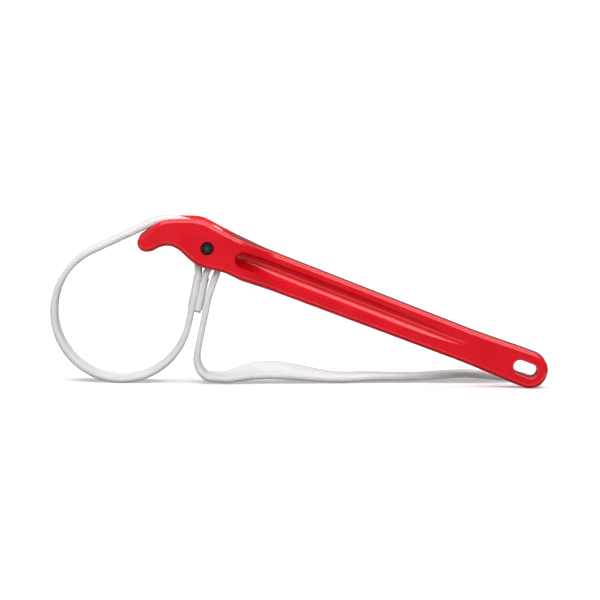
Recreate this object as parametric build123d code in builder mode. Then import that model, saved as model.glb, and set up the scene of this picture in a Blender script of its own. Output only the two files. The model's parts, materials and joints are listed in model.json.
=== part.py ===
"""Strap wrench: a cast handle with a hooked nose, and a webbing strap that hangs on a pin.

Millimetres. The origin is on the axis of the gripped pipe, midway across the strap.
+X runs towards the handle's hanging hole, +Y runs across the strap and +Z is up.
The tool stands on a flat surface: the loop, the handle's end and the strap's tail touch it.
"""
from build123d import *
from math import acos, asin, atan2, cos, degrees, hypot, radians, sin, tan
import os

os.makedirs("parts", exist_ok=True)

# Driving dimensions -------------------------------------------------------------------
pipe_radius = 44.45          # an 88.9 mm pipe
grip_clearance = 0.05        # between the strap's inner face and the pipe
strap_width = 30.0
strap_thickness = 4.5
running_gap = 0.3            # between strap layers, and between the strap and the casting

pin_x, pin_z = 58.5, 45.2
pin_radius = 4.6
pin_inset = 0.8              # each end of the pin lies below the cheek's face
pin_chamfer = 0.6
pin_dimple_radius = 1.6
pin_dimple_depth = 0.7

head_half_width = 21.0
nose_half_width = 18.0
shank_half_width = 10.0
shank_half_height = 12.6      # at its rounded end
root_half_height = 12.9       # at the head
waist_half_height = 11.4      # where it is slimmest
waist_at = -52.0              # along the shank, from the end's centre
tip_x = 281.7                # centre of the handle's rounded end

crest_x, crest_z = 31.0, 39.0    # centre of the hook's rounded back
crest_radius = 22.5

nose_radius = 6.1
# Where the handle changes width, along X.
nose_back_x, head_start_x, head_end_x, shank_start_x, past_tip_x = 6.0, 40.0, 78.0, 108.0, 300.0

window_left, window_right = 46.2, 74.6
window_side_gap = 0.7        # beside each edge of the strap
window_corner = 2.0
channel_angle = 137.0        # on the hook's back, where the channel begins

# The head's outline in the side view, as points of X and Z.
nose_centre = (16.5, 48.0)
cheek_start, cheek_end = (37.5, 65.2), (48.0, 65.2)      # the flat top over the strap's channel
head_shoulder = (63.0, 60.4)
top_joint = (96.4, 45.0)                                 # where the head's top runs into the shank
back_start_angle, back_end_angle = 138.0, 120.0          # on the circle of the hook's back
underside_joint_at = -206.0                              # along the shank, from the end's centre
underside = ((70.0, 28.6), (54.0, 32.4), (45.4, 38.0), (38.5, 44.0), (31.5, 46.4), (25.0, 44.8))

hang_hole_length = 17.0
hang_hole_height = 9.4
hang_hole_inset = 3.2        # from the end's centre towards the head

casting_round = 3.0
hole_round = 1.2

# A round-bottomed groove in each side of the shank, deep at the head and fading out.
groove_radius = 5.7
groove_middle = 1.1                              # across the shank, from its middle line
groove_start, groove_end = -211.3, -48.0         # its axis, along the shank from the end's centre
groove_out_start, groove_out_end = 8.6, 15.6     # its axis, out from the handle's mid plane

eye_clearance = 0.3          # between the pin and the strap's eye
eye_neck = 20.0              # from the pin's axis to the end of the eye
eye_crotch = 17.0            # from the pin's axis to where its two layers meet
lap_length = 45.0            # from the pin's axis to the end of the sewn lap
drape_joins_lap = 33.0       # from the pin's axis to where the tail lies along the lap
floor_bend_radius = 15.0
tail_skew = 12.7             # degrees, away from the handle
tail_length = 221.8          # from the floor bend
tail_start = 12.0            # length of the tail that belongs to the bend
tail_split = 125.0           # where the tail's far half begins to lift

drape_gap = 0.9              # between the sewn lap and the tail that hangs beside it

stitch_length, stitch_width, stitch_height = 3.2, 0.9, 0.5
stitch_rows, stitch_columns = 5, 5

# Worked out from them -----------------------------------------------------------------
strap_inner = pipe_radius + grip_clearance
loop_radius = strap_inner + strap_thickness / 2          # the strap's middle line
floor_z = -(strap_inner + strap_thickness)
tip_z = floor_z + shank_half_height
half_strap = strap_width / 2
half_thickness = strap_thickness / 2

shank_run, shank_drop = tip_x - top_joint[0], top_joint[1] - tip_z
shank_angle = degrees(atan2(shank_drop, shank_run) - asin(shank_half_height / hypot(shank_run, shank_drop)))
shank = Plane(origin=(tip_x, 0, tip_z),
              x_dir=(cos(radians(shank_angle)), 0, -sin(radians(shank_angle))),
              z_dir=(0, -1, 0))
side = Plane.XZ


def polar(centre, radius, angle):
    """The point at an angle, in degrees from +X, on a circle in the side view."""
    return (centre[0] + radius * cos(radians(angle)), centre[1] + radius * sin(radians(angle)))


def tangent_angle(near, far, near_radius, far_radius):
    """The angle of the normal of the line that touches both circles on their upper side."""
    run, rise = far[0] - near[0], far[1] - near[1]
    return degrees(atan2(rise, run) + acos((near_radius - far_radius) / hypot(run, rise)))


def heading(start, end):
    """The direction from one point of the side view to another."""
    return ((end[0] - start[0]) / hypot(end[0] - start[0], end[1] - start[1]),
            (end[1] - start[1]) / hypot(end[0] - start[0], end[1] - start[1]))


def along_shank(distance, height=0.0):
    """A point of the side view, given along and across the shank from the end's centre."""
    point = shank.from_local_coords((distance, height, 0))
    return (point.X, point.Z)


pipe = (0.0, 0.0)
pin = (pin_x, pin_z)
crest = (crest_x, crest_z)
eye_radius = pin_radius + eye_clearance + half_thickness
crest_mid = crest_radius + running_gap + half_thickness
over_pin_radius = eye_radius + half_thickness + running_gap + half_thickness

leave_loop = tangent_angle(pipe, crest, loop_radius, crest_mid)
leave_crest = tangent_angle(crest, pin, crest_mid, over_pin_radius)
# The fixed run hangs from the pin, square to this direction, and touches the loop there.
run_normal = degrees(atan2(pin_z, pin_x)) - degrees(
    acos((loop_radius + half_thickness) / hypot(pin_x, pin_z)))


def beside_run(down, across):
    """A point measured down the fixed run from the pin, and across it away from the pipe."""
    normal = (cos(radians(run_normal)), sin(radians(run_normal)))
    return (pin_x + across * normal[0] + down * normal[1],
            pin_z + across * normal[1] - down * normal[0])


run_end = polar(pipe, loop_radius, run_normal)
neck_left, neck_right = beside_run(eye_neck, -half_thickness), beside_run(eye_neck, half_thickness)
lap_end = beside_run(lap_length, half_thickness)
drape_across = strap_thickness + drape_gap + half_thickness
drape_meet = beside_run(drape_joins_lap, drape_across)
drape_run = hypot(drape_meet[0] - pin_x, drape_meet[1] - pin_z)
leave_over_pin = degrees(atan2(drape_meet[1] - pin_z, drape_meet[0] - pin_x)
                         + acos(over_pin_radius / drape_run))
bend_z = floor_z + half_thickness + floor_bend_radius
run_cos, run_sin = cos(radians(run_normal)), sin(radians(run_normal))
bend_x = (pin_x * run_cos + pin_z * run_sin + drape_across + floor_bend_radius
          - bend_z * run_sin) / run_cos
bend = (bend_x, bend_z)
bend_start = polar(bend, floor_bend_radius, 180 + run_normal)
bend_end = (bend_x, floor_z + half_thickness)

# The strap's webbing ------------------------------------------------------------------

with BuildPart() as strap_eye:
    with BuildSketch(side):
        with BuildLine():
            CenterArc(pin, eye_radius + half_thickness, 0, 360)
            Line(beside_run(eye_neck, -strap_thickness), beside_run(eye_neck, strap_thickness))
        make_hull()
    extrude(amount=half_strap, both=True)
    with BuildSketch(side):
        with BuildLine():
            CenterArc(pin, eye_radius - half_thickness, 0, 360)
            Line(beside_run(eye_crotch, -eye_clearance), beside_run(eye_crotch, eye_clearance))
        make_hull()
    extrude(amount=half_strap, both=True, mode=Mode.SUBTRACT)
strap_eye.part.label = "strap_eye"

with BuildPart() as strap_lap:
    with BuildSketch(side):
        with BuildLine():
            Line(neck_right, lap_end)
        trace(line_width=strap_thickness)
    extrude(amount=half_strap, both=True)
strap_lap.part.label = "strap_lap"

with BuildPart() as strap_fixed_run:
    with BuildSketch(side):
        with BuildLine():
            Line(neck_left, run_end)
        trace(line_width=strap_thickness)
    extrude(amount=half_strap, both=True)
strap_fixed_run.part.label = "strap_fixed_run"

with BuildPart() as strap_loop:
    with BuildSketch(side):
        with BuildLine():
            CenterArc(pipe, loop_radius, run_normal, leave_loop - run_normal - 360)
        trace(line_width=strap_thickness)
    extrude(amount=half_strap, both=True)
strap_loop.part.label = "strap_loop"

with BuildPart() as strap_over_hook:
    with BuildSketch(side):
        with BuildLine():
            Line(polar(pipe, loop_radius, leave_loop), polar(crest, crest_mid, leave_loop))
            CenterArc(crest, crest_mid, leave_loop, leave_crest - leave_loop)
            Line(polar(crest, crest_mid, leave_crest), polar(pin, over_pin_radius, leave_crest))
        trace(line_width=strap_thickness)
    extrude(amount=half_strap, both=True)
strap_over_hook.part.label = "strap_over_hook"

with BuildPart() as strap_in_window:
    with BuildSketch(side):
        with BuildLine():
            CenterArc(pin, over_pin_radius, leave_crest, leave_over_pin - leave_crest)
        trace(line_width=strap_thickness)
    extrude(amount=half_strap, both=True)
strap_in_window.part.label = "strap_in_window"

with BuildPart() as strap_drape:
    with BuildSketch(side):
        with BuildLine():
            Line(polar(pin, over_pin_radius, leave_over_pin), drape_meet)
            Line(drape_meet, bend_start)
        trace(line_width=strap_thickness)
    extrude(amount=half_strap, both=True)
strap_drape.part.label = "strap_drape"

tail_plane = Plane(origin=(bend_x, 0, floor_z), x_dir=(cos(radians(tail_skew)), sin(radians(tail_skew)), 0),
                   z_dir=(0, 0, 1))

with BuildPart() as strap_floor_bend:
    with BuildSketch(side):
        with BuildLine():
            CenterArc(bend, floor_bend_radius, 180 + run_normal, 90 - run_normal)
        trace(line_width=strap_thickness)
    extrude(amount=half_strap, both=True)
    with BuildSketch(Plane.XY.offset(floor_z)):
        with BuildLine():
            corner_low = tail_plane.from_local_coords((tail_start, -half_strap, 0))
            corner_high = tail_plane.from_local_coords((tail_start, half_strap, 0))
            Polyline((bend_x, -half_strap), (corner_low.X, corner_low.Y),
                     (corner_high.X, corner_high.Y), (bend_x, half_strap), close=True)
        make_face()
    extrude(amount=strap_thickness)
strap_floor_bend.part.label = "strap_floor_bend"


def tail_span(name, start, end):
    """A flat stretch of the tail on the floor, from one distance to another past the bend."""
    with BuildPart() as span:
        with BuildSketch(tail_plane):
            with Locations(((start + end) / 2, 0)):
                Rectangle(end - start, strap_width)
        extrude(amount=strap_thickness)
    span.part.label = name
    return span.part


strap_tail_near = tail_span("strap_tail_near", tail_start, tail_split - running_gap)
strap_tail_far = tail_span("strap_tail_far", tail_split, tail_length)

# The thread that closes the eye -------------------------------------------------------

with BuildPart() as eye_stitching:
    stitched_length = lap_length - eye_neck
    for face in (-1, 1):
        middle = beside_run(lap_length - stitched_length / 2, face * strap_thickness)
        seam = Plane(origin=(middle[0], 0, middle[1]), x_dir=(run_sin, 0, -run_cos),
                     z_dir=(face * run_cos, 0, face * run_sin))
        with BuildSketch(seam):
            with GridLocations(stitched_length / stitch_rows, strap_width / stitch_columns,
                               stitch_rows, stitch_columns):
                Rectangle(stitch_length, stitch_width)
        extrude(amount=stitch_height)
eye_stitching.part.label = "eye_stitching"

# The cast handle ----------------------------------------------------------------------

nose_low, nose_front, nose_tip = (polar(nose_centre, nose_radius, angle) for angle in (270, 225, 180))
back_start, back_end = (polar(crest, crest_radius, angle) for angle in (back_start_angle, back_end_angle))
shank_top_end = along_shank(0, shank_half_height)
shank_low_end = along_shank(0, -shank_half_height)
top_waist, low_waist = along_shank(waist_at, waist_half_height), along_shank(waist_at, -waist_half_height)
underside_joint = along_shank(underside_joint_at, -root_half_height)
down_shank = (cos(radians(shank_angle)), -sin(radians(shank_angle)))
up_shank = (-down_shank[0], -down_shank[1])
above_all = 200.0            # taller than the whole tool

with BuildPart() as handle:
    with BuildSketch(side):
        with BuildLine():
            ThreePointArc(nose_low, nose_front, nose_tip)
            Spline(nose_tip, back_start, back_end, cheek_start, tangents=((0, 1), (1, 0)))
            Line(cheek_start, cheek_end)
            Spline(cheek_end, head_shoulder, top_joint, tangents=((1, 0), heading(top_joint, top_waist)))
            Line(top_joint, top_waist)
            Spline(top_waist, shank_top_end, tangents=(heading(top_joint, top_waist), down_shank))
            ThreePointArc(shank_top_end, along_shank(shank_half_height), shank_low_end)
            Spline(shank_low_end, low_waist, tangents=(up_shank, heading(low_waist, underside_joint)))
            Line(low_waist, underside_joint)
            Spline(underside_joint, *underside, nose_low,
                   tangents=(heading(low_waist, underside_joint), (-1, 0)))
        make_face()
    extrude(amount=head_half_width, both=True)
    with BuildSketch(Plane.XY.offset(2 * floor_z)):
        with BuildLine():
            for hand in (1, -1):
                Line((nose_back_x, 0), (nose_back_x, hand * nose_half_width))
                Spline((nose_back_x, hand * nose_half_width), (head_start_x, hand * head_half_width),
                       tangents=((1, 0), (1, 0)))
                Line((head_start_x, hand * head_half_width), (head_end_x, hand * head_half_width))
                Spline((head_end_x, hand * head_half_width), (shank_start_x, hand * shank_half_width),
                       tangents=((1, 0), (1, 0)))
                Line((shank_start_x, hand * shank_half_width), (past_tip_x, hand * shank_half_width))
                Line((past_tip_x, hand * shank_half_width), (past_tip_x, 0))
        make_face()
    extrude(amount=above_all, mode=Mode.INTERSECT)
    sides = handle.faces().filter_by(lambda face: abs(face.normal_at().Y) > 0.8)
    fillet(sides.edges().filter_by(Axis.Z, reverse=True), casting_round)
    # Both sides of the shank are grooved, which leaves a web between two flanges.
    for outward in (1, -1):
        near = shank.from_local_coords((groove_start, groove_middle, outward * groove_out_start))
        far = shank.from_local_coords((groove_end, groove_middle, outward * groove_out_end))
        along = (far - near).normalized()
        with BuildSketch(Plane(origin=(near + far) / 2, x_dir=along,
                               z_dir=along.cross(shank.y_dir) * outward)):
            SlotOverall((far - near).length + 2 * groove_radius, 2 * groove_radius)
        extrude(amount=head_half_width, mode=Mode.SUBTRACT)
        with BuildSketch(Plane(origin=near, z_dir=along)):
            Circle(groove_radius)
        extrude(amount=(far - near).length, mode=Mode.SUBTRACT)
        with Locations(near):
            Sphere(groove_radius, mode=Mode.SUBTRACT)
    # The window lets the strap through between the two cheeks, over the pin's eye.
    with BuildSketch(Plane.XY.offset(floor_z)):
        with Locations(((window_left + window_right) / 2, 0)):
            RectangleRounded(window_right - window_left, strap_width + 2 * window_side_gap, window_corner)
    extrude(amount=above_all, mode=Mode.SUBTRACT)
    # The channel leads the strap from the hook's back down into the window.
    with BuildSketch(side):
        with BuildLine():
            floor_start = polar(crest, crest_radius, channel_angle)
            floor_turn = polar(crest, crest_radius, leave_crest)
            past_corner = window_left + window_corner + 1
            floor_end = (past_corner, floor_turn[1] - (past_corner - floor_turn[0])
                         / tan(radians(leave_crest)))
            floor_middle = polar(crest, crest_radius, (channel_angle + leave_crest) / 2)
            ThreePointArc(floor_start, floor_middle, floor_turn)
            Polyline(floor_turn, floor_end, (floor_end[0], above_all), (floor_start[0], above_all),
                     floor_start)
        make_face()
    extrude(amount=half_strap + window_side_gap, both=True, mode=Mode.SUBTRACT)
    # The hanging hole.
    with BuildSketch(shank):
        with Locations((-hang_hole_inset, 0)):
            SlotOverall(hang_hole_length, hang_hole_height)
    before = handle.edges()
    extrude(amount=shank_half_width * 2, both=True, mode=Mode.SUBTRACT)
    rims = (handle.edges() - before).filter_by(lambda edge: abs(abs(edge.center().Y) - shank_half_width) < 0.01)
    fillet(rims, hole_round)
    # The pin's bore through both cheeks.
    with BuildSketch(side):
        with Locations(pin):
            Circle(pin_radius)
    extrude(amount=head_half_width + 1, both=True, mode=Mode.SUBTRACT)
handle.part.label = "handle"

with BuildPart() as strap_pin:
    with BuildSketch(side):
        with Locations(pin):
            Circle(pin_radius)
    extrude(amount=head_half_width - pin_inset, both=True)
    ends = strap_pin.faces().filter_by(Axis.Y)
    chamfer(ends.edges(), pin_chamfer)
    for outward in (1, -1):
        with BuildSketch(side.offset(outward * (head_half_width - pin_inset))):
            with Locations(pin):
                Circle(pin_dimple_radius)
        extrude(amount=-outward * pin_dimple_depth, mode=Mode.SUBTRACT)
strap_pin.part.label = "strap_pin"

for piece in (handle.part, strap_pin.part, strap_eye.part, strap_lap.part, strap_fixed_run.part,
              strap_loop.part, strap_over_hook.part, strap_in_window.part, strap_drape.part,
              strap_floor_bend.part, strap_tail_near, strap_tail_far, eye_stitching.part):
    export_step(piece, f"parts/{piece.label}.step")
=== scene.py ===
"""A strap wrench's looks: enamelled casting, black pin, woven strap and stitching, on the CAD frame."""
import json
from math import acos, atan2, cos, exp, hypot, pi, radians, sin, tau

import bmesh
import bpy
from mathutils import Matrix, Vector


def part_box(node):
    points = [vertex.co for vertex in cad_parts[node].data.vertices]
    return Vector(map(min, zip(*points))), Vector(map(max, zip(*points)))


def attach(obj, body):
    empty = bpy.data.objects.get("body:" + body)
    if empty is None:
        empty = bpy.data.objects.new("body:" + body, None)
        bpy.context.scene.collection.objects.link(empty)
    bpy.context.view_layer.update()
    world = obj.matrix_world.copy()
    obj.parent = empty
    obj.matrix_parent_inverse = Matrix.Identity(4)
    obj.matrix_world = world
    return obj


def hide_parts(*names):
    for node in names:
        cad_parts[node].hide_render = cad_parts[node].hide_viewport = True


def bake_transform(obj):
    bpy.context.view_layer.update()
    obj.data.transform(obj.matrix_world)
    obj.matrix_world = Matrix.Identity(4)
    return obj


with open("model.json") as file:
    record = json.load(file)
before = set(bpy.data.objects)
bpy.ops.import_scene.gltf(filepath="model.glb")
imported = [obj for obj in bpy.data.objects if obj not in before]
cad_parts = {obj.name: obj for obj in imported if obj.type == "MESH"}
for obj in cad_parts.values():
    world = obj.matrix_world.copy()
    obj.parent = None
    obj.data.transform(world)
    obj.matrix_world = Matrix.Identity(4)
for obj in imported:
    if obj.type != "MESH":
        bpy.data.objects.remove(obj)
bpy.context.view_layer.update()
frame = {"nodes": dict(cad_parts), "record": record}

# Sizes, in metres, read from the frame ------------------------------------------------

joints = {joint["name"]: joint for joint in frame["record"]["behaviour"]["joints"]}
loop_low, loop_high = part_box("strap_loop")
tail_low, tail_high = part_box("strap_tail_near")
pin_low, pin_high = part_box("strap_pin")

strap_width = loop_high[1] - loop_low[1]
strap_thickness = tail_high[2] - tail_low[2]
half_thickness = strap_thickness / 2
floor_z = tail_low[2]
loop_radius = -floor_z - half_thickness          # of the strap's middle line round the pipe
pin_x, _, pin_z = joints["strap_pivot"]["pos_m"]
pin_radius = (pin_high[0] - pin_low[0]) / 2
bend_x = joints["tail_sweep"]["pos_m"][0]
lift_axis = joints["tail_lift"]["axis"]
tail_along = Vector((-lift_axis[1], lift_axis[0], 0)).normalized()
tail_across = Vector((-tail_along.y, tail_along.x, 0))

# The strap's route, in the same terms as the part's own model -------------------------

gap = 0.0003                 # between strap layers, and between the strap and the casting
eye_clearance = 0.0003       # between the pin and the eye
crest_x, crest_z, crest_radius = 0.031, 0.039, 0.0225      # the hook's rounded back
# Down the fixed run from the pin: to the eye's end, to where the drape meets the lap, and to the lap's end.
eye_neck, drape_joins_lap, lap_length = 0.020, 0.033, 0.045
drape_gap = 0.0009           # between the lap and the drape
bend_radius = 0.015          # where the drape turns onto the floor
tail_length = 0.2218         # from the floor bend to the cut end
tail_seam = 0.060            # along the tail, where one length of strap mesh meets the next

step = 0.0012                # between the strap's cross-sections
eye_easing, bend_easing = 3, 12      # rounds of easing for the eye's corners and the drape's
layer_gap = 0.00004          # keeps the sewn layers' faces from sharing one plane

pipe, pin, crest = (0.0, 0.0), (pin_x, pin_z), (crest_x, crest_z)
eye_radius = pin_radius + eye_clearance + half_thickness
crest_mid = crest_radius + gap + half_thickness
over_pin = eye_radius + 2 * half_thickness + gap


def polar(centre, radius, angle):
    """The point at an angle on a circle in the side view."""
    return (centre[0] + radius * cos(angle), centre[1] + radius * sin(angle))


def tangent_angle(near, far, near_radius, far_radius):
    """The angle of the normal of the line that touches both circles on their upper side."""
    run, rise = far[0] - near[0], far[1] - near[1]
    return atan2(rise, run) + acos((near_radius - far_radius) / hypot(run, rise))


leave_loop = tangent_angle(pipe, crest, loop_radius, crest_mid)
leave_crest = tangent_angle(crest, pin, crest_mid, over_pin)
run_normal = atan2(pin_z, pin_x) - acos((loop_radius + half_thickness) / hypot(pin_x, pin_z))


def beside_run(down, across):
    """A point measured down the fixed run from the pin, and across it away from the pipe."""
    return (pin_x + across * cos(run_normal) + down * sin(run_normal),
            pin_z + across * sin(run_normal) - down * cos(run_normal))


drape_meet = beside_run(drape_joins_lap, strap_thickness + drape_gap + half_thickness)
leave_over_pin = (atan2(drape_meet[1] - pin_z, drape_meet[0] - pin_x)
                  + acos(over_pin / hypot(drape_meet[0] - pin_x, drape_meet[1] - pin_z)))
bend = (bend_x, floor_z + half_thickness + bend_radius)


def arc(centre, radius, start, end):
    """Points along an arc of the side view, a step apart."""
    count = max(2, round(abs(end - start) * radius / step))
    return [polar(centre, radius, start + (end - start) * i / count) for i in range(count + 1)]


def line(start, end):
    """Points along a straight line of the side view, a step apart."""
    run, rise = end[0] - start[0], end[1] - start[1]
    count = max(1, round(hypot(run, rise) / step))
    return [(start[0] + run * i / count, start[1] + rise * i / count) for i in range(count + 1)]


def joined(*runs):
    """One list of points from several runs that meet end to end."""
    points = list(runs[0])
    for run in runs[1:]:
        points += run[1:]
    return points


def relaxed(points, rounds):
    """The same points with their corners eased, the two ends kept."""
    for _ in range(rounds):
        eased_points = [tuple((a + 2 * b + c) / 4 for a, b, c in zip(before, here, after))
                        for before, here, after in zip(points, points[1:], points[2:])]
        points = [points[0]] + eased_points + [points[-1]]
    return points


# Strap meshes -------------------------------------------------------------------------

edge_radius = 0.0017
edge_steps = 5
edge_drop = 0.0002           # from the flat face to the rounded edge beside it
selvedge = 0.0125            # from the middle to the groove beside each selvedge
selvedge_slope = 0.0006      # half the width of that groove
selvedge_depth = 0.00028
crease_angle = radians(50)
flat_columns = (-0.65, -0.325, 0, 0.325, 0.65)      # between the selvedges, as shares of the flat's half


def rounded_edge(middle, start):
    """The points of one edge of the cross-section, from one flat face to the other."""
    turns = [start - pi * k / edge_steps for k in range(1, edge_steps)]
    return [(middle + edge_radius * cos(turn), (half_thickness - edge_drop) * sin(turn)) for turn in turns]


def section():
    """The strap's cross-section as (across, up) pairs, once round, with its selvedge grooves."""
    flat = strap_width / 2 - edge_radius
    right = [(selvedge - selvedge_slope, 0), (selvedge, -selvedge_depth), (selvedge + selvedge_slope, 0),
             (flat, 0)]
    left = [(-across, up) for across, up in reversed(right)]
    face = left + [(flat * share, 0) for share in flat_columns] + right
    top = [(across, half_thickness + up) for across, up in face]
    bottom = [(across, -half_thickness - up) for across, up in reversed(face)]
    return top + rounded_edge(flat, pi / 2) + bottom + rounded_edge(-flat, -pi / 2)


def add_piece(name, mesh):
    """Puts a finished mesh into the scene as a smooth-shaded object."""
    data = bpy.data.meshes.new(name)
    mesh.to_mesh(data)
    mesh.free()
    data.shade_smooth()
    made = bpy.data.objects.new(name, data)
    bpy.context.scene.collection.objects.link(made)
    return made


def strap_mesh(name, stations, start_length=0.0):
    """A length of strap through stations of (centre, across), and how far along the strap it ends."""
    ring = section()
    perimeter = [0.0]
    for (a, b), (c, d) in zip(ring, ring[1:] + ring[:1]):
        perimeter.append(perimeter[-1] + hypot(c - a, d - b))
    mesh = bmesh.new()
    uv_layer = mesh.loops.layers.uv.new("strap")
    rings, lengths, travelled = [], [], start_length
    for i, (centre, across) in enumerate(stations):
        ahead = stations[min(i + 1, len(stations) - 1)][0] - stations[max(i - 1, 0)][0]
        if i:
            travelled += (centre - stations[i - 1][0]).length
        up = across.cross(ahead).normalized()
        side = ahead.cross(up).normalized()
        rings.append([mesh.verts.new(centre + side * a + up * b) for a, b in ring])
        lengths.append(travelled)
    count = len(ring)
    for i in range(len(rings) - 1):
        for k in range(count):
            corners = ((i, k), (i, (k + 1) % count), (i + 1, (k + 1) % count), (i + 1, k))
            face = mesh.faces.new([rings[a][b] for a, b in corners])
            for loop, (a, _), around in zip(face.loops, corners, (k, k + 1, k + 1, k)):
                loop[uv_layer].uv = (perimeter[around], lengths[a])
    mesh.faces.new(list(reversed(rings[0])))
    mesh.faces.new(rings[-1])
    bmesh.ops.recalc_face_normals(mesh, faces=mesh.faces)
    made = add_piece(name, mesh)
    made.data.set_sharp_from_angle(angle=crease_angle)
    return made, travelled


def in_side_view(points):
    """Stations of a strap that lies in the side view."""
    return [(Vector((x, 0, z)), Vector((0, 1, 0))) for x, z in points]


def route_length(stations):
    """How long a list of stations is."""
    return sum((b[0] - a[0]).length for a, b in zip(stations, stations[1:]))


# From the sewn lap round the pin, down the fixed run, round the pipe and over the hook to the pin.
neck_left = beside_run(eye_neck, -half_thickness - layer_gap)
neck_right = beside_run(eye_neck, half_thickness + layer_gap)
lap_end = beside_run(lap_length, half_thickness + layer_gap)
eye_half_angle = acos(eye_radius / hypot(eye_neck, half_thickness)) + atan2(half_thickness, eye_neck)
eye_down = run_normal - pi / 2
eye_start, eye_end = eye_down + eye_half_angle, eye_down + tau - eye_half_angle

lap_and_eye = relaxed(joined(
    line(lap_end, neck_right), line(neck_right, polar(pin, eye_radius, eye_start)),
    arc(pin, eye_radius, eye_start, eye_end), line(polar(pin, eye_radius, eye_end), neck_left),
    line(neck_left, polar(pipe, loop_radius, run_normal))), eye_easing)
round_the_pipe = joined(
    arc(pipe, loop_radius, run_normal, leave_loop - tau),
    line(polar(pipe, loop_radius, leave_loop), polar(crest, crest_mid, leave_loop)),
    arc(crest, crest_mid, leave_loop, leave_crest),
    line(polar(crest, crest_mid, leave_crest), polar(pin, over_pin, leave_crest)))
loop_stations = in_side_view(joined(lap_and_eye, round_the_pipe))
window_stations = in_side_view(arc(pin, over_pin, leave_crest, leave_over_pin))

# The tail, from the floor bend to its cut end -----------------------------------------

# Places along the tail are distances past the bend, and each pair is where a change starts and ends.
turn_onto_tail = (-0.004, 0.030)
lean, lean_rise, lean_settle = radians(13), (-0.004, 0.036), (0.042, 0.100)
counter_lean, counter_lean_at, counter_lean_spread = radians(3.5), 0.150, 0.035
near_lift, near_lift_rise, near_lift_settle = 0.0030, (-0.006, 0.030), (0.030, 0.090)
tail_humps = ((0.0012, 0.105, 0.022), (0.0022, 0.178, 0.026))      # each one's height, middle and spread
tail_start = 0.006
bend_steps_replaced = 6      # the last steps of the bend, whose place the leaning tail takes


def hump(distance, middle, spread):
    """A smooth bump of height 1."""
    return exp(-((distance - middle) / spread) ** 2)


def eased(distance, start, end):
    """0 before start, 1 after end, smooth between."""
    share = min(max((distance - start) / (end - start), 0), 1)
    return share * share * (3 - 2 * share)


def tail_tilt(distance):
    """How far the strap leans about its own length: positive raises its far edge."""
    leaning = lean * (1 - eased(distance, *lean_settle)) * eased(distance, *lean_rise)
    return leaning - counter_lean * hump(distance, counter_lean_at, counter_lean_spread)


def tail_lift(distance):
    """How far the strap's lower face stands off the floor."""
    lifted = near_lift * (1 - eased(distance, *near_lift_settle)) * eased(distance, *near_lift_rise)
    return lifted + sum(height * hump(distance, middle, spread) for height, middle, spread in tail_humps)


def tail_station(distance):
    """One cross-section of the tail on the floor."""
    tilt = tail_tilt(distance)
    level = Vector((0, 1, 0)).lerp(tail_across, eased(distance, *turn_onto_tail)).normalized()
    across = level * cos(tilt) + Vector((0, 0, 1)) * sin(tilt)
    half_height = strap_width / 2 * abs(sin(tilt)) + half_thickness * cos(tilt)
    centre = Vector((bend_x, 0, 0)) + tail_along * distance
    return Vector((centre.x, centre.y, floor_z + half_height + tail_lift(distance))), across


def tail_stations(start, end):
    """Cross-sections of the tail from one distance to another past the bend."""
    count = round((end - start) / step)
    return [tail_station(start + (end - start) * i / count) for i in range(count + 1)]


drape_route = relaxed(joined(
    line(polar(pin, over_pin, leave_over_pin), drape_meet),
    line(drape_meet, polar(bend, bend_radius, pi + run_normal)),
    arc(bend, bend_radius, pi + run_normal, 3 * pi / 2)), bend_easing)
drape_stations = in_side_view(drape_route[:-bend_steps_replaced]) + tail_stations(tail_start, tail_seam)
tip_stations = tail_stations(tail_seam, tail_length)

loop_strap, reached = strap_mesh("loop_webbing", loop_stations)
window_strap, reached = strap_mesh("window_webbing", window_stations, reached)
drape_strap, reached = strap_mesh("drape_webbing", drape_stations, reached)
tip_strap, strap_length = strap_mesh("tail_webbing", tip_stations, reached)

# Stitching ----------------------------------------------------------------------------

thread_radius = 0.00042
thread_sides, thread_steps = 8, 6
stitch_pitch = 0.0031
stitch_fill = 0.8            # the share of each pitch that the thread shows
stitch_arch = 1.5            # how far a stitch rises from its ends to its middle, in thread radii
box_start, box_end, box_half = 0.0225, 0.0425, 0.0112      # the sewn box: down the lap, and across it
second_turn_inset, cross_inset = 0.0016, 0.0026


def stitch_lines():
    """A box with a cross in it, as (down, across) pairs of ends, with a second turn inside it."""
    lines = []
    for inset in (0, second_turn_inset):
        low, high, half = box_start + inset, box_end - inset, box_half - inset
        lines += [((low, -half), (low, half)), ((low, half), (high, half)),
                  ((high, half), (high, -half)), ((high, -half), (low, -half))]
    low, high, half = box_start + cross_inset, box_end - cross_inset, box_half - cross_inset
    return lines + [((low, -half), (high, half)), ((low, half), (high, -half))]


def add_stitch(mesh, start, end, outward):
    """One arched stitch of thread that dips into the cloth at both ends."""
    across = outward.cross((end - start).normalized())
    turns = [tau * k / thread_sides for k in range(thread_sides)]
    rings = []
    for i in range(thread_steps + 1):
        share = i / thread_steps
        centre = start.lerp(end, share) + outward * (thread_radius * stitch_arch * (sin(pi * share) - 0.5))
        rings.append([mesh.verts.new(centre + (across * cos(turn) + outward * sin(turn)) * thread_radius)
                      for turn in turns])
    for first, second in zip(rings, rings[1:]):
        for k in range(thread_sides):
            after = (k + 1) % thread_sides
            mesh.faces.new((first[k], first[after], second[after], second[k]))
    mesh.faces.new(list(reversed(rings[0])))
    mesh.faces.new(rings[-1])


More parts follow.
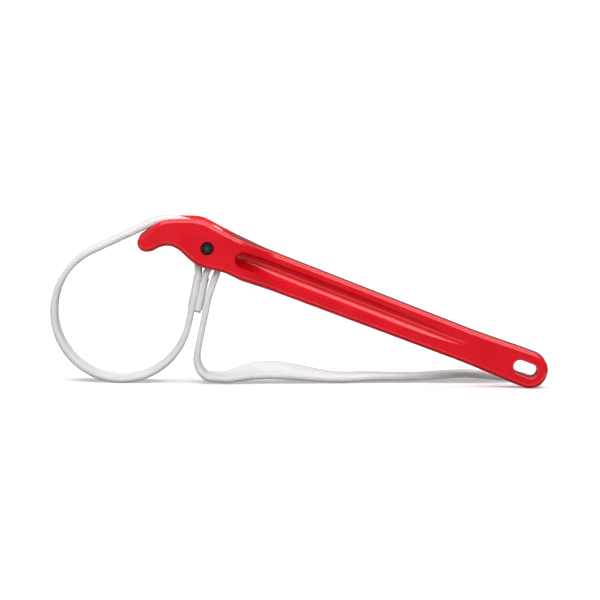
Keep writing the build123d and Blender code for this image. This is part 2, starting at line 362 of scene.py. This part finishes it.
def stitching():
    """The thread on both faces of the sewn lap."""
    mesh = bmesh.new()
    normal = Vector((cos(run_normal), 0, sin(run_normal)))
    for hand in (1, -1):
        surface = hand * (strap_thickness + layer_gap)
        for (down_a, y_a), (down_b, y_b) in stitch_lines():
            x_a, z_a = beside_run(down_a, surface)
            x_b, z_b = beside_run(down_b, surface)
            start, end = Vector((x_a, y_a, z_a)), Vector((x_b, y_b, z_b))
            count = max(1, round((end - start).length / stitch_pitch))
            reach = stitch_fill / count / 2
            for i in range(count):
                middle = (i + 0.5) / count
                add_stitch(mesh, start.lerp(end, middle - reach), start.lerp(end, middle + reach),
                           normal * hand)
    bmesh.ops.recalc_face_normals(mesh, faces=mesh.faces)
    return add_piece("eye_thread", mesh)


eye_thread = stitching()

# Shader maths -------------------------------------------------------------------------


class Value:
    """A shader socket that Python expressions can use."""

    def __init__(self, maker, socket):
        self.maker, self.socket = maker, socket

    def math(self, operation, *others):
        return self.maker.node("ShaderNodeMath", {"operation": operation}, (self, *others))

    def __add__(self, other):
        return self.math("ADD", other)

    __radd__ = __add__

    def __sub__(self, other):
        return self.math("SUBTRACT", other)

    def __rsub__(self, other):
        return self.maker.node("ShaderNodeMath", {"operation": "SUBTRACT"}, (other, self))

    def __mul__(self, other):
        return self.math("MULTIPLY", other)

    __rmul__ = __mul__

    def __pow__(self, other):
        return self.math("POWER", other)

    def sine(self):
        return self.math("SINE")

    def absolute(self):
        return self.math("ABSOLUTE")

    def above(self, limit):
        return self.math("GREATER_THAN", limit)

    def below(self, limit):
        return self.math("LESS_THAN", limit)

    def between(self, low, high):
        """0 below low, 1 above high, smooth between."""
        return self.maker.node("ShaderNodeMapRange", {"interpolation_type": "SMOOTHSTEP"},
                               {"Value": self, "From Min": low, "From Max": high})

    def ripple(self, rate):
        """A smooth wave between 0 and 1, at this many radians for each unit of the value."""
        return (self * rate).sine() * 0.5 + 0.5


class Maker:
    """Builds the nodes of one material, or of the room's light."""

    def __init__(self, owner):
        self.owner = owner
        owner.use_nodes = True
        self.tree = owner.node_tree
        self.tree.nodes.clear()

    def node(self, kind, settings=None, inputs=(), output=0):
        """Adds a node: its settings first, then its sockets' values or links."""
        made = self.tree.nodes.new(kind)
        for key, value in (settings or {}).items():
            if key == "stops":
                ramp = made.color_ramp
                while len(ramp.elements) < len(value):
                    ramp.elements.new(0.5)
                for element, (place, colour) in zip(ramp.elements, value):
                    element.position, element.color = place, colour
            else:
                setattr(made, key, value)
        pairs = inputs.items() if isinstance(inputs, dict) else enumerate(inputs)
        for key, value in pairs:
            if isinstance(value, Value):
                self.tree.links.new(value.socket, made.inputs[key])
            else:
                made.inputs[key].default_value = value
        return None if output is None else Value(self, made.outputs[output])

    def place(self, kind="Object"):
        """Where a point is, in metres, or for "Generated" the direction of a ray of the room's light."""
        return self.node("ShaderNodeTexCoord", output=kind)

    def parts(self, vector):
        """A vector's three numbers."""
        first = self.node("ShaderNodeSeparateXYZ", {}, {"Vector": vector})
        return [Value(self, socket) for socket in first.socket.node.outputs]

    def noise(self, where, scale, detail=3.0):
        """Cloudy variation, from about 0 to 1, with this many features to the metre."""
        return self.node("ShaderNodeTexNoise", {}, {"Vector": where, "Scale": scale, "Detail": detail})

    def blend(self, share, first, second):
        """A colour between two colours."""
        return self.node("ShaderNodeMix", {"data_type": "RGBA"}, {0: share, 6: first, 7: second}, output=2)

    def bump(self, height, distance, strength):
        """A surface normal from a height between 0 and 1."""
        return self.node("ShaderNodeBump", {}, {"Strength": strength, "Distance": distance, "Height": height})

    def finish(self, **sockets):
        """The shader itself."""
        named = {key.replace("_", " "): value for key, value in sockets.items()}
        shader = self.node("ShaderNodeBsdfPrincipled", {}, named)
        self.node("ShaderNodeOutputMaterial", {}, {"Surface": shader}, output=None)
        return self.owner


# Materials ----------------------------------------------------------------------------


def grey(level):
    """A neutral colour."""
    return (level, level, level, 1)


deep_red, bright_red = (0.80, 0.004, 0.014, 1), (0.87, 0.007, 0.022, 1)


def red_enamel():
    """Thick glossy enamel over a sand casting: faint orange peel and slow waves under a clear coat."""
    make = Maker(bpy.data.materials.new("red_enamel"))
    where = make.place()
    flow = make.noise(where, scale=55.0, detail=2.0)
    peel = make.noise(where, scale=900.0, detail=2.0)
    sand = make.noise(where, scale=260.0)
    height = 0.7 * flow + 0.2 * sand + 0.1 * peel
    return make.finish(Base_Color=make.blend(flow.between(0.3, 0.7), deep_red, bright_red),
                       Roughness=0.36 + 0.08 * sand, Specular_IOR_Level=0.12,
                       Coat_Weight=1.0, Coat_Roughness=0.08,
                       Normal=make.bump(height, distance=0.00015, strength=0.35))


# The pin's face: black towards its rim, a lighter grey towards its middle.
black_oxide, grey_middle_steel = (0.012, 0.011, 0.010, 1), (0.10, 0.095, 0.085, 1)
grey_middle_within, grey_middle_fades = 0.0004, 0.0026         # from the pin's axis
turning_marks = 9000.0                           # radians to the metre


def black_steel():
    """Blackened steel with turning marks round the pin's axis, greyer in cloudy patches towards its middle.
    """
    make = Maker(bpy.data.materials.new("black_steel"))
    where = make.place()
    x, _, z = make.parts(where)
    radius = ((x - pin_x) ** 2 + (z - pin_z) ** 2) ** 0.5
    grime = make.noise(where, scale=700.0, detail=4.0)
    # Greyer towards the pin's axis, in cloudy patches.
    greyer_middle = (1 - radius.between(grey_middle_within, grey_middle_fades)) * grime.between(0.25, 0.6)
    height = 0.6 * radius.ripple(turning_marks) + 0.4 * grime
    return make.finish(Base_Color=make.blend(greyer_middle, black_oxide, grey_middle_steel),
                       Metallic=0.55, Roughness=0.38 + 0.2 * grime,
                       Normal=make.bump(height, distance=0.00006, strength=0.5))


yarn_pitch = 0.00135         # across the strap
pick_pitch = 0.00165         # along the strap
strands_per_yarn, strands_per_pick = 6.2, 2.4
sealed_length = 0.0014       # of melted yarn at each cut end
shaded_cloth, lit_cloth, melted_yarn = (0.70, 0.70, 0.695, 1), (0.87, 0.87, 0.865, 1), (0.42, 0.38, 0.31, 1)


def webbing():
    """Plain-woven off-white webbing: ribbed yarns, finer thread in each, and sealed cut ends."""
    make = Maker(bpy.data.materials.new("webbing"))
    across, along, _ = make.parts(make.node("ShaderNodeUVMap", {"uv_map": "strap"}))
    where = make.place()
    yarn = (across * (pi / yarn_pitch)).sine()
    pick = (along * (pi / pick_pitch)).sine()
    weave = yarn * pick * 0.5 + 0.5
    rib = yarn.absolute() ** 0.6
    strand_turns = across * (strands_per_yarn / yarn_pitch) + along * (strands_per_pick / pick_pitch)
    fuzz = make.noise(where, scale=2600.0)
    shade = make.noise(where, scale=120.0)
    height = 0.5 * weave + 0.25 * rib + 0.12 * strand_turns.ripple(pi) + 0.13 * fuzz
    sealed = along.below(sealed_length) + along.above(strap_length - sealed_length)
    cloth = make.blend((0.65 * height + 0.35 * shade).between(0.15, 0.7), shaded_cloth, lit_cloth)
    return make.finish(Base_Color=make.blend(sealed, cloth, melted_yarn),
                       Roughness=0.86 - 0.4 * sealed, Specular_IOR_Level=0.3,
                       Sheen_Weight=0.25, Sheen_Roughness=0.5,
                       Normal=make.bump(height, distance=0.00045, strength=0.85))


shaded_thread, lit_thread = (0.74, 0.73, 0.69, 1), (0.90, 0.89, 0.86, 1)
thread_twist = 9500.0        # radians to the metre


def thread():
    """Bonded polyester thread, a little warmer than the strap."""
    make = Maker(bpy.data.materials.new("thread"))
    where = make.place()
    x, y, z = make.parts(where)
    return make.finish(Base_Color=make.blend(make.noise(where, scale=500.0), shaded_thread, lit_thread),
                       Roughness=0.55,
                       Normal=make.bump((x + y - z).ripple(thread_twist), distance=0.0001, strength=0.8))


glow_start, glow_full = 1.4, 3.2     # how far behind the tool the backdrop's own glow grows to its most
near_glow, far_glow = grey(0.28), grey(1)


def studio_white():
    """The plain pale floor and backdrop, which glows far from the lamps."""
    make = Maker(bpy.data.materials.new("studio_white"))
    where = make.place()
    _, back, _ = make.parts(where)
    return make.finish(Base_Color=make.blend(make.noise(where, scale=6.0), grey(0.93), grey(0.95)),
                       Roughness=0.8, Specular_IOR_Level=0.1, Emission_Strength=1.0,
                       Emission_Color=make.blend(back.between(glow_start, glow_full), near_glow, far_glow))


def dress(piece, material):
    """Gives a piece one material."""
    piece.data.materials.clear()
    piece.data.materials.append(material)


def dress_frame(node, material):
    """Gives a frame node a better material in the slots that it has."""
    for slot in frame["nodes"][node].material_slots:
        slot.material = material


dress_frame("handle", red_enamel())
dress_frame("strap_pin", black_steel())
cloth = webbing()
for piece in (loop_strap, window_strap, drape_strap, tip_strap):
    dress(piece, cloth)
dress(eye_thread, thread())

# What each piece moves with ---------------------------------------------------------

# The drape turns from low on its run to just past the bend, on a slope that its top stays above.
drape_foot = Vector((bend_x - bend_radius, 0, floor_z + bend_radius))

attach(loop_strap, "loop_body")
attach(eye_thread, "loop_body")
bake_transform(window_strap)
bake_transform(drape_strap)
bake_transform(tip_strap)

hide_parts("strap_eye", "strap_lap", "strap_fixed_run", "strap_loop", "strap_over_hook")
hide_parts("strap_in_window")
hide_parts("strap_drape", "strap_floor_bend")
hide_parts("strap_tail_near", "strap_tail_far")
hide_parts("eye_stitching")

route_length(loop_stations)
route_length(window_stations)
route_length(drape_stations)
route_length(tip_stations)

# Studio -------------------------------------------------------------------------------

floor_front, wall_turn, wall_turn_radius, wall_top = -8.0, 5.0, 1.2, 5.0      # along Y, and up
sweep_half_span = 8.0
wall_turn_steps = 24


def sweep_backdrop():
    """A floor that curves up into a plain wall, far enough behind for a camera to stand before it."""
    mesh = bmesh.new()
    outline = [(floor_front, floor_z), (wall_turn, floor_z)]
    for i in range(1, wall_turn_steps + 1):
        turn = pi / 2 * i / wall_turn_steps
        outline.append((wall_turn + wall_turn_radius * sin(turn),
                        floor_z + wall_turn_radius * (1 - cos(turn))))
    outline.append((wall_turn + wall_turn_radius, floor_z + wall_top))
    rows = [[mesh.verts.new((side * sweep_half_span, y, z)) for side in (-1, 1)] for y, z in outline]
    for low, high in zip(rows, rows[1:]):
        mesh.faces.new((low[0], low[1], high[1], high[0]))
    made = add_piece("studio_sweep", mesh)
    dress(made, studio_white())
    # The tool is lit by the lamps and the dim room, not by the backdrop.
    made.visible_glossy = False
    made.visible_diffuse = False
    return made


sweep_backdrop()

tool_middle = (0.12, 0, 0)


def softbox(name, place, size, power, target=tool_middle):
    """A large soft light that faces its target."""
    light = bpy.data.lights.new(name, "AREA")
    light.shape = "RECTANGLE"
    light.size, light.size_y = size
    light.energy = power
    lamp = bpy.data.objects.new(name, light)
    lamp.location = place
    lamp.rotation_euler = (Vector(target) - Vector(place)).to_track_quat("-Z", "Y").to_euler()
    bpy.context.scene.collection.objects.link(lamp)


softbox("key", (0.05, -1.5, 1.5), size=(3.0, 1.7), power=51)
softbox("overhead", (0.15, 0.1, 1.6), size=(2.4, 0.6), power=1)
softbox("front", (-0.6, -2.2, 0.35), size=(1.2, 0.9), power=1.5)
softbox("back", (0.4, 1.3, 1.3), size=(2.0, 0.8), power=3)
softbox("backdrop", (0.0, 1.0, 3.0), size=(4.0, 1.5), power=70, target=(0, 2.4, 0.4))

# How light the room is, from straight down at 0 to straight up at 1, with a bright band below the horizon.
room_levels = ((0.0, 0.10), (0.24, 0.15), (0.30, 1.3), (0.38, 1.3), (0.42, 0.06), (0.55, 0.10), (1.0, 0.2))


def room_light(world):
    """A dim room over a pale table, for gloss to reflect."""
    make = Maker(world)
    upward = make.parts(make.place("Generated"))[2]
    stops = [(place, grey(level)) for place, level in room_levels]
    shade = make.node("ShaderNodeValToRGB", {"stops": stops}, (upward * 0.5 + 0.5,))
    room = make.node("ShaderNodeBackground", {}, {"Color": shade, "Strength": 1.0})
    make.node("ShaderNodeOutputWorld", {}, {"Surface": room}, output=None)
    return world


bpy.context.scene.world = room_light(bpy.data.worlds.new("studio"))

# Camera -------------------------------------------------------------------------------

camera_distance = 3.0
elevation = radians(5)
roll = radians(0.9)
view_width = 0.414
sensor_width_mm = 36.0
target = Vector((0.12265, 0, 0.0091))

camera_data = bpy.data.cameras.new("camera")
camera_data.sensor_width = sensor_width_mm
camera_data.lens = sensor_width_mm * camera_distance / view_width
camera = bpy.data.objects.new("camera", camera_data)
camera.location = target + Vector((0, -cos(elevation), sin(elevation))) * camera_distance
tipped_down = Matrix.Rotation(pi / 2 - elevation, 3, "X")
rolled = Matrix.Rotation(roll, 3, "Z")
camera.rotation_euler = (tipped_down @ rolled).to_euler()
bpy.context.scene.collection.objects.link(camera)
bpy.context.scene.camera = camera
bpy.context.scene.view_settings.view_transform = "Standard"
